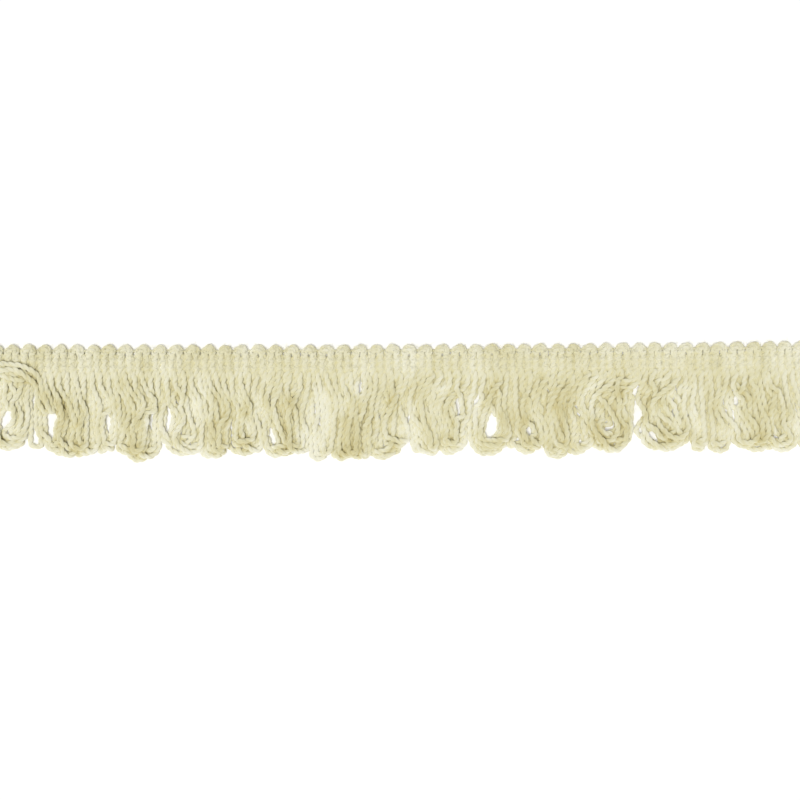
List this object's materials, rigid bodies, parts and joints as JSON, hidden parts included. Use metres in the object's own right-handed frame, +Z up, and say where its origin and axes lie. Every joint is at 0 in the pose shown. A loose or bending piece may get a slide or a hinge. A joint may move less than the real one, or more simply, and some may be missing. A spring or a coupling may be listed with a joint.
{
  "type": "looped fringe trim",
  "caption": "Cut length of knitted cotton trim: a narrow scalloped heading with a thick skirt of yarn loops that lie tumbled in bundles.",
  "frame": {"origin": "middle of the trim's outline in plan, on the surface that it lies on", "axes": "+X along the trim, +Y from the tips of the loops to the scalloped edge of the heading, +Z up from the surface"},
  "size_m": [0.2348, 0.0334, 0.0069],
  "materials": {
    "cotton_heading": "matt natural cream cotton yarn, knitted",
    "cotton_loops": "matt natural cream cotton yarn, soft two-ply twist"
  },
  "bodies": {
    "root": {"heading": "cotton_heading", "loop_skirt": "cotton_loops"}
  },
  "joints": []
}
